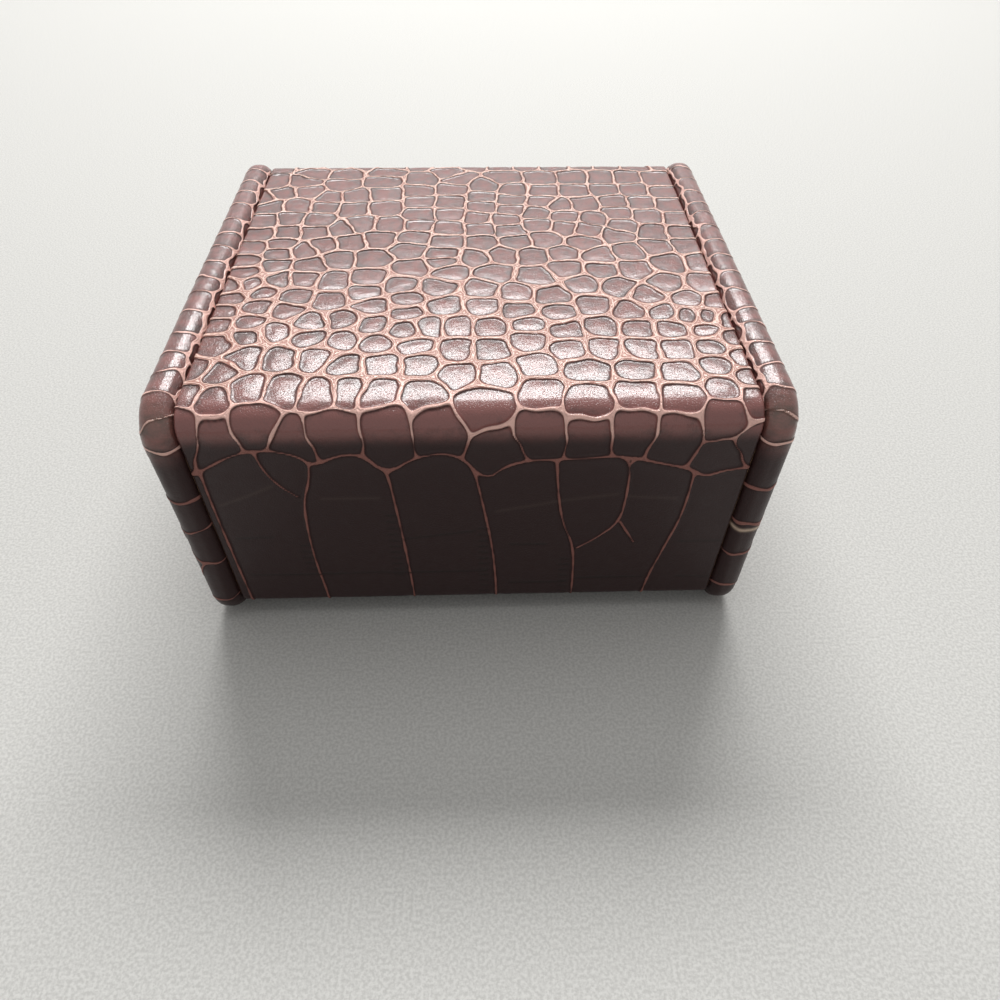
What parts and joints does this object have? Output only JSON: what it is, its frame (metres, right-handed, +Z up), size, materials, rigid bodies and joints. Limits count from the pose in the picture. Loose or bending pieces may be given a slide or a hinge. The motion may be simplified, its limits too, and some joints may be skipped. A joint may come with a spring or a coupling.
{
  "type": "cufflink box with drawer",
  "caption": "Leather-covered box: rolled-edge side panels, a hinged lid over a compartmented tray, and a shallow drawer below it.",
  "frame": {"origin": "on the floor, in the middle of the footprint of the two side panels", "axes": "+X along the width towards the right side panel as seen from the drawer's side, +Y towards the leather hinge at the back, +Z up"},
  "size_m": [0.16, 0.146, 0.082],
  "materials": {
    "crocodile_print_leather": "satin, crocodile print, dark burgundy brown with paler creases",
    "strap_leather": "satin, smooth, two plies",
    "fibreboard": "matt, raw fibreboard",
    "suede_covered_board": "thin board wrapped in tan suede cloth",
    "suede": "matt suede cloth, tan",
    "felt": "matt felt, dark brown",
    "nickel_plated_steel": "satin nickel plate",
    "beech": "raw beech"
  },
  "bodies": {
    "carcass": {"left_cheek_board": "fibreboard", "right_cheek_board": "fibreboard", "left_cheek_leather": "crocodile_print_leather", "right_cheek_leather": "crocodile_print_leather", "left_cheek_lining": "suede", "right_cheek_lining": "suede", "base_board": "fibreboard", "base_cover": "felt", "bay_lining": "suede", "back_board": "fibreboard", "back_leather": "crocodile_print_leather", "shelf": "fibreboard", "front_panel_board": "fibreboard", "front_panel_leather": "crocodile_print_leather", "catch_plates": "nickel_plated_steel", "drawer_stop": "beech", "carcass_dowels": "beech", "hinge_liner_lower": "suede", "tray_front_wall": "suede_covered_board", "tray_back_wall": "suede_covered_board", "tray_left_wall": "suede_covered_board", "tray_right_wall": "suede_covered_board", "tray_floor_pad": "suede", "tray_long_divider_1": "suede_covered_board", "tray_long_divider_2": "suede_covered_board", "tray_cross_divider_1": "suede_covered_board", "tray_cross_divider_2": "suede_covered_board", "tray_cross_divider_3": "suede_covered_board"},
    "lid": {"lid_board": "fibreboard", "lid_leather": "crocodile_print_leather", "lid_lining": "suede", "lid_magnets": "nickel_plated_steel", "lid_pull_tab": "strap_leather", "hinge_liner_upper": "suede"},
    "drawer": {"drawer_front_board": "fibreboard", "drawer_front_leather": "crocodile_print_leather", "drawer_left_side": "suede_covered_board", "drawer_right_side": "suede_covered_board", "drawer_back": "suede_covered_board", "drawer_bottom": "suede_covered_board", "drawer_lining": "suede", "drawer_divider": "suede_covered_board", "drawer_pull_tab": "strap_leather"}
  },
  "joints": [
    {"name": "lid_hinge", "type": "hinge", "parent": "carcass", "child": "lid", "pos_m": [0, 0.071, 0.067], "axis": [-1, 0, 0], "range_deg": [0, 100]},
    {"name": "drawer_slide", "type": "slide", "parent": "carcass", "child": "drawer", "axis": [0, -1, 0], "range_m": [0, 0.1]}
  ]
}
